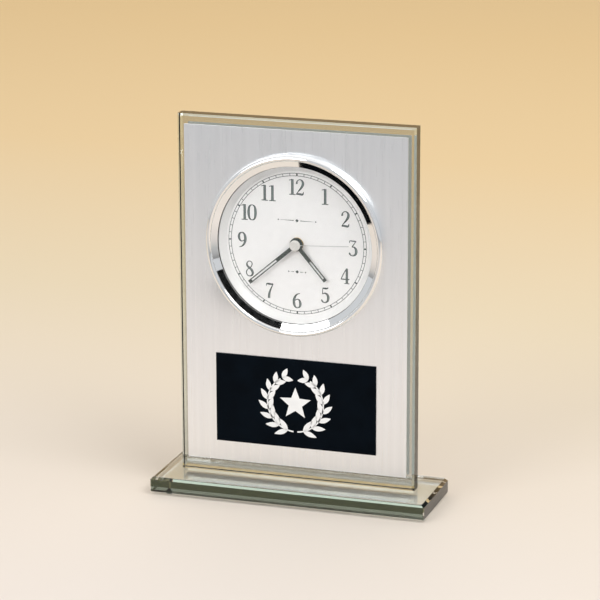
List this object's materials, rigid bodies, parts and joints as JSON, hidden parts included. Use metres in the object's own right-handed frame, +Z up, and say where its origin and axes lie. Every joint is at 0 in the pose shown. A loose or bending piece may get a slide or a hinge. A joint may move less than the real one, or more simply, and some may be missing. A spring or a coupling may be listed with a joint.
{
  "type": "desk clock",
  "caption": "Glass desk clock: bevelled glass upright with brushed plates and a round chrome quartz insert on a long glass base.",
  "frame": {"origin": "on the table, under the middle of the base", "axes": "+Z up, the dial faces -Y, +X to the right of the dial"},
  "size_m": [0.1412, 0.044, 0.1901],
  "materials": {
    "clear_glass": "polished, green at the edges",
    "lens_glass": "clear, polished",
    "brushed_aluminium": "vertically brushed, clear anodised",
    "plaque_black": "black gloss",
    "chrome": "polished",
    "ring_silver": "satin chrome",
    "dial_paint": "off-white matte lacquer",
    "hand_paint": "dark green-black lacquer",
    "hand_silver": "satin",
    "cap_white": "off-white, gloss",
    "rubber_black": "matte",
    "bumper_clear": "clear polyurethane",
    "case_black": "fine moulded texture",
    "movement_grey": "moulded",
    "wheel_plastic": "natural acetal",
    "brass": "turned",
    "copper": "enamelled copper wire",
    "steel": "bright",
    "motor_iron": "annealed soft iron",
    "magnet": "sintered ferrite",
    "board_green": "solder resist",
    "chip_black": "moulded epoxy"
  },
  "bodies": {
    "stand": {"upright_glass": "clear_glass", "front_plate": "brushed_aluminium", "rear_plate": "brushed_aluminium", "plaque": "plaque_black", "base_glass": "clear_glass", "base_plate": "brushed_aluminium", "bumper_feet": "bumper_clear"},
    "insert": {"bezel": "chrome", "lens": "lens_glass", "lens_gasket": "rubber_black", "dial_ring": "ring_silver", "dial": "dial_paint", "insert_case": "case_black", "mounting_gasket": "rubber_black", "rear_cover": "case_black", "case_screws": "steel", "movement_housing": "movement_grey", "movement_cover": "movement_grey", "fixing_nut": "brass", "circuit_board": "board_green", "driver_chip": "chip_black", "quartz_crystal": "steel", "battery_cell": "steel", "positive_contact": "brass", "negative_contact": "brass", "stator": "motor_iron", "coil_core": "motor_iron", "coil_bobbin": "wheel_plastic", "coil_winding": "copper", "stator_screws": "steel"},
    "seconds": {"second_arbor": "steel", "second_wheel": "wheel_plastic", "second_hand": "hand_silver", "second_hand_cap": "cap_white"},
    "minutes": {"centre_wheel": "wheel_plastic", "cannon_pinion": "brass", "minute_hand": "hand_paint"},
    "hours": {"hour_wheel": "wheel_plastic", "hour_hand": "hand_paint"},
    "third": {"third_wheel": "wheel_plastic"},
    "minute_work": {"minute_work_wheel": "wheel_plastic"},
    "intermediate": {"intermediate_wheel": "wheel_plastic"},
    "motor_rotor": {"rotor": "wheel_plastic", "rotor_magnet": "magnet"},
    "setting": {"set_shaft": "wheel_plastic", "set_knob": "case_black"},
    "hatch": {"battery_hatch": "case_black"}
  },
  "joints": [
    {"name": "insert_slide", "type": "slide", "parent": "stand", "child": "insert", "axis": [0, -1, 0], "range_m": [0, 0.03]},
    {"name": "second_spin", "type": "hinge", "parent": "insert", "child": "seconds", "pos_m": [0, 0, 0.1287], "axis": [0, 1, 0], "continuous": true},
    {"name": "minute_spin", "type": "hinge", "parent": "insert", "child": "minutes", "pos_m": [0, 0, 0.1287], "axis": [0, 1, 0], "continuous": true},
    {"name": "hour_spin", "type": "hinge", "parent": "insert", "child": "hours", "pos_m": [0, 0, 0.1287], "axis": [0, 1, 0], "continuous": true},
    {"name": "third_spin", "type": "hinge", "parent": "insert", "child": "third", "pos_m": [-0.0072, 0, 0.1287], "axis": [0, 1, 0], "continuous": true},
    {"name": "minute_work_spin", "type": "hinge", "parent": "insert", "child": "minute_work", "pos_m": [0.00313, 0, 0.13411], "axis": [0, 1, 0], "continuous": true},
    {"name": "intermediate_spin", "type": "hinge", "parent": "insert", "child": "intermediate", "pos_m": [0.00494, 0, 0.12282], "axis": [0, 1, 0], "continuous": true},
    {"name": "rotor_spin", "type": "hinge", "parent": "insert", "child": "motor_rotor", "pos_m": [0.01155, 0, 0.12165], "axis": [0, 1, 0], "continuous": true},
    {"name": "set_spin", "type": "hinge", "parent": "insert", "child": "setting", "pos_m": [0.009, 0, 0.13625], "axis": [0, 1, 0], "continuous": true},
    {"name": "hatch_turn", "type": "hinge", "parent": "insert", "child": "hatch", "pos_m": [-0.008, 0, 0.1147], "axis": [0, 1, 0], "range_deg": [0, 35]}
  ],
  "couplings": [
    {"joint": "minute_spin", "follows": "second_spin", "ratio": 0.016667},
    {"joint": "hour_spin", "follows": "second_spin", "ratio": 0.0013889},
    {"joint": "third_spin", "follows": "second_spin", "ratio": -0.13333},
    {"joint": "minute_work_spin", "follows": "second_spin", "ratio": -0.0055556},
    {"joint": "intermediate_spin", "follows": "second_spin", "ratio": -5},
    {"joint": "rotor_spin", "follows": "second_spin", "ratio": 30},
    {"joint": "set_spin", "follows": "second_spin", "ratio": 0.016667}
  ]
}
